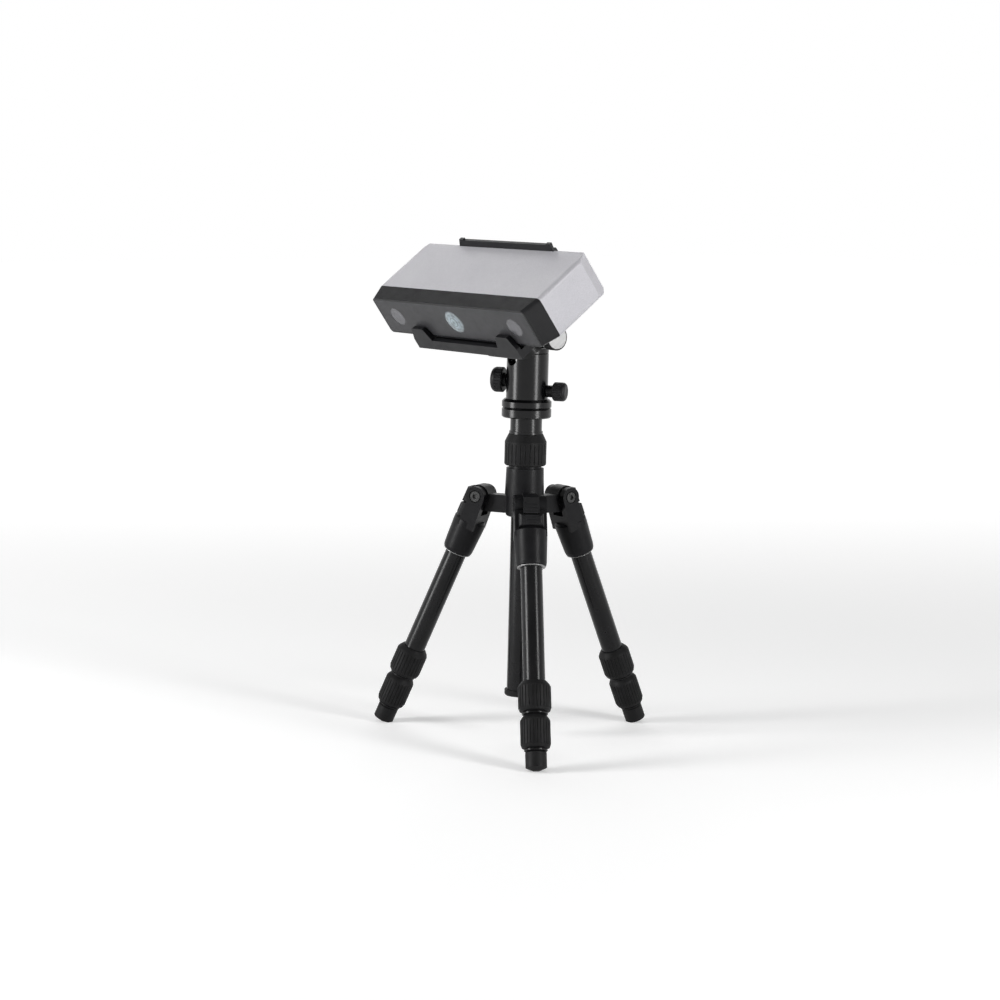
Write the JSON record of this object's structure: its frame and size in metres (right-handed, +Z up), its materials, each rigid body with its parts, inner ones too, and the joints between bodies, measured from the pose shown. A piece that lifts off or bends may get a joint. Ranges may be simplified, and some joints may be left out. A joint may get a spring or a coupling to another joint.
{
  "type": "desktop 3d scanner",
  "caption": "Bar-shaped 3D scanner with camera and projector windows, clamped in a cradle on a ball head over a folding stand with telescopic legs and a sliding column.",
  "frame": {"origin": "on the floor under the middle of the whole object's bounding box", "axes": "+Z up, -Y where the lenses face, +X along the scanning head to its left as seen by someone behind it"},
  "size_m": [0.2849, 0.2648, 0.5062],
  "materials": {
    "silver_shell": "satin grey silver",
    "gloss_black": "gloss black plastic",
    "front_grey": "satin dark grey",
    "camera_glass": "smoked glass",
    "projector_glass": "coated glass",
    "board_green": "circuit board",
    "inner_black": "matt black",
    "bench_metal": "milled",
    "black_anodised": "black anodised",
    "cradle_black": "black lacquered",
    "rubber_black": "ribbed rubber",
    "knob_silver": "brushed",
    "ball_steel": "polished",
    "screw_steel": "zinc plated",
    "nylon_white": "natural nylon",
    "knob_plastic": "moulded black",
    "lacquer_black": "gloss black lacquer",
    "cast_black": "black lacquered casting",
    "socket_black": "matt black"
  },
  "bodies": {
    "stand": {"spider": "cast_black", "hinge_bolts": "screw_steel"},
    "right_leg": {"right_leg_fork": "cast_black", "right_upper_tube": "lacquer_black"},
    "right_tab": {"right_leg_tab": "knob_plastic"},
    "right_upper_collar": {"right_upper_lock": "rubber_black"},
    "right_middle": {"right_middle_tube": "lacquer_black"},
    "right_lower_collar": {"right_lower_lock": "rubber_black"},
    "right_lower": {"right_lower_tube": "lacquer_black", "right_foot": "rubber_black"},
    "rear_leg": {"rear_leg_fork": "cast_black", "rear_upper_tube": "lacquer_black"},
    "rear_tab": {"rear_leg_tab": "knob_plastic"},
    "rear_upper_collar": {"rear_upper_lock": "rubber_black"},
    "rear_middle": {"rear_middle_tube": "lacquer_black"},
    "rear_lower_collar": {"rear_lower_lock": "rubber_black"},
    "rear_lower": {"rear_lower_tube": "lacquer_black", "rear_foot": "rubber_black"},
    "left_leg": {"left_leg_fork": "cast_black", "left_upper_tube": "lacquer_black"},
    "left_tab": {"left_leg_tab": "knob_plastic"},
    "left_upper_collar": {"left_upper_lock": "rubber_black"},
    "left_middle": {"left_middle_tube": "lacquer_black"},
    "left_lower_collar": {"left_lower_lock": "rubber_black"},
    "left_lower": {"left_lower_tube": "lacquer_black", "left_foot": "rubber_black"},
    "column": {"centre_column": "lacquer_black", "column_end_cap": "rubber_black", "column_head": "black_anodised", "pan_base": "black_anodised"},
    "column_collar": {"column_lock": "rubber_black"},
    "ball_head": {"ball_housing": "black_anodised", "ball_seat": "nylon_white"},
    "main_lock": {"main_knob": "knob_plastic"},
    "pan_lock": {"pan_knob": "knob_plastic"},
    "ball": {"ball_stem": "ball_steel"},
    "scanner": {"clamp_body": "black_anodised", "quick_release_plate": "black_anodised", "cradle_screw": "screw_steel", "cradle_base": "cradle_black", "cradle_pads": "rubber_black", "head_shell": "silver_shell", "rear_cover": "inner_black", "cover_screws": "screw_steel", "front_bezel": "gloss_black", "front_panel": "front_grey", "camera_windows": "camera_glass", "projector_window": "projector_glass", "camera_modules": "board_green", "projector_lens": "inner_black", "projector_engine": "inner_black", "optical_bench": "bench_metal", "mainboard": "board_green", "dc_jack": "socket_black", "usb_port": "socket_black"},
    "sliding_jaw": {"cradle_jaw": "cradle_black"},
    "clamp_slider": {"clamp_jaw": "black_anodised"},
    "clamp_handle": {"clamp_knob": "knob_plastic", "clamp_knob_cap": "knob_silver"},
    "button": {"power_button": "gloss_black"}
  },
  "joints": [
    {"name": "right_leg_fold", "type": "hinge", "parent": "stand", "child": "right_leg", "pos_m": [0.04059, -0.05547, 0.2456], "axis": [0.5195, 0.8545, 0], "range_deg": [0, 23]},
    {"name": "right_tab_pull", "type": "slide", "parent": "right_leg", "child": "right_tab", "axis": [0.783, -0.4761, 0.4003], "range_m": [0, 0.004]},
    {"name": "right_upper_twist", "type": "hinge", "parent": "right_leg", "child": "right_upper_collar", "pos_m": [0.04059, -0.05547, 0.2456], "axis": [0.3421, -0.208, -0.9164], "range_deg": [0, 120]},
    {"name": "right_middle_slide", "type": "slide", "parent": "right_leg", "child": "right_middle", "axis": [0.3421, -0.208, -0.9164], "range_m": [0, 0.12]},
    {"name": "right_lower_twist", "type": "hinge", "parent": "right_middle", "child": "right_lower_collar", "pos_m": [0.04059, -0.05547, 0.2456], "axis": [0.3421, -0.208, -0.9164], "range_deg": [0, 120]},
    {"name": "right_lower_slide", "type": "slide", "parent": "right_middle", "child": "right_lower", "axis": [0.3421, -0.208, -0.9164], "range_m": [0, 0.12]},
    {"name": "rear_leg_fold", "type": "hinge", "parent": "stand", "child": "rear_leg", "pos_m": [0.00108, 0.01669, 0.2456], "axis": [-0.9997, 0.0227, 0], "range_deg": [0, 23]},
    {"name": "rear_tab_pull", "type": "slide", "parent": "rear_leg", "child": "rear_tab", "axis": [0.0208, 0.9161, 0.4003], "range_m": [0, 0.004]},
    {"name": "rear_upper_twist", "type": "hinge", "parent": "rear_leg", "child": "rear_upper_collar", "pos_m": [0.00108, 0.01669, 0.2456], "axis": [0.0091, 0.4002, -0.9164], "range_deg": [0, 120]},
    {"name": "rear_middle_slide", "type": "slide", "parent": "rear_leg", "child": "rear_middle", "axis": [0.0091, 0.4002, -0.9164], "range_m": [0, 0.12]},
    {"name": "rear_lower_twist", "type": "hinge", "parent": "rear_middle", "child": "rear_lower_collar", "pos_m": [0.00108, 0.01669, 0.2456], "axis": [0.0091, 0.4002, -0.9164], "range_deg": [0, 120]},
    {"name": "rear_lower_slide", "type": "slide", "parent": "rear_middle", "child": "rear_lower", "axis": [0.0091, 0.4002, -0.9164], "range_m": [0, 0.12]},
    {"name": "left_leg_fold", "type": "hinge", "parent": "stand", "child": "left_leg", "pos_m": [-0.04166, -0.05361, 0.2456], "axis": [0.4802, -0.8771, 0], "range_deg": [0, 23]},
    {"name": "left_tab_pull", "type": "slide", "parent": "left_leg", "child": "left_tab", "axis": [-0.8038, -0.4401, 0.4003], "range_m": [0, 0.004]},
    {"name": "left_upper_twist", "type": "hinge", "parent": "left_leg", "child": "left_upper_collar", "pos_m": [-0.04166, -0.05361, 0.2456], "axis": [-0.3512, -0.1923, -0.9164], "range_deg": [0, 120]},
    {"name": "left_middle_slide", "type": "slide", "parent": "left_leg", "child": "left_middle", "axis": [-0.3512, -0.1923, -0.9164], "range_m": [0, 0.12]},
    {"name": "left_lower_twist", "type": "hinge", "parent": "left_middle", "child": "left_lower_collar", "pos_m": [-0.04166, -0.05361, 0.2456], "axis": [-0.3512, -0.1923, -0.9164], "range_deg": [0, 120]},
    {"name": "left_lower_slide", "type": "slide", "parent": "left_middle", "child": "left_lower", "axis": [-0.3512, -0.1923, -0.9164], "range_m": [0, 0.12]},
    {"name": "column_slide", "type": "slide", "parent": "stand", "child": "column", "axis": [0, 0, 1], "range_m": [0, 0.17]},
    {"name": "column_twist", "type": "hinge", "parent": "stand", "child": "column_collar", "pos_m": [0, -0.0308, 0.29], "axis": [0, 0, 1], "range_deg": [0, 120]},
    {"name": "pan", "type": "hinge", "parent": "column", "child": "ball_head", "pos_m": [0, -0.0308, 0.35], "axis": [0, 0, 1], "continuous": true},
    {"name": "pan_lock_turn", "type": "hinge", "parent": "ball_head", "child": "pan_lock", "pos_m": [0, -0.0308, 0.3552], "axis": [0.8192, 0.5736, 0], "range_deg": [0, 180]},
    {"name": "main_lock_turn", "type": "hinge", "parent": "ball_head", "child": "main_lock", "pos_m": [0, -0.0308, 0.3646], "axis": [-0.8192, -0.5736, 0], "range_deg": [0, 180]},
    {"name": "ball_tilt", "type": "hinge", "parent": "ball_head", "child": "ball", "pos_m": [0, -0.0308, 0.385], "axis": [1, 0, 0], "range_deg": [-61, 25]},
    {"name": "ball_swivel", "type": "hinge", "parent": "ball", "child": "scanner", "pos_m": [0, -0.0308, 0.385], "axis": [-0.0133, -0.5962, 0.8027], "continuous": true},
    {"name": "cradle_jaw_slide", "type": "slide", "parent": "scanner", "child": "sliding_jaw", "axis": [-0.0133, -0.5962, 0.8027], "range_m": [0, 0.018], "stiffness_N_per_m": 60, "springref_m": -0.05},
    {"name": "clamp_knob_turn", "type": "hinge", "parent": "clamp_slider", "child": "clamp_handle", "pos_m": [-0.00036, -0.04117, 0.41155], "axis": [0.9999, -0.0079, 0.0106], "range_deg": [0, 720]},
    {"name": "clamp_jaw_slide", "type": "slide", "parent": "scanner", "child": "clamp_slider", "axis": [0.9999, -0.0079, 0.0106], "range_m": [0, 0.003]},
    {"name": "button_press", "type": "slide", "parent": "scanner", "child": "button", "axis": [0, -0.8028, -0.5962], "range_m": [0, 0.0012], "stiffness_N_per_m": 400, "springref_m": -0.001}
  ],
  "couplings": [
    {"joint": "clamp_knob_turn", "follows": "clamp_jaw_slide", "rad_per_m": 4188.8}
  ]
}
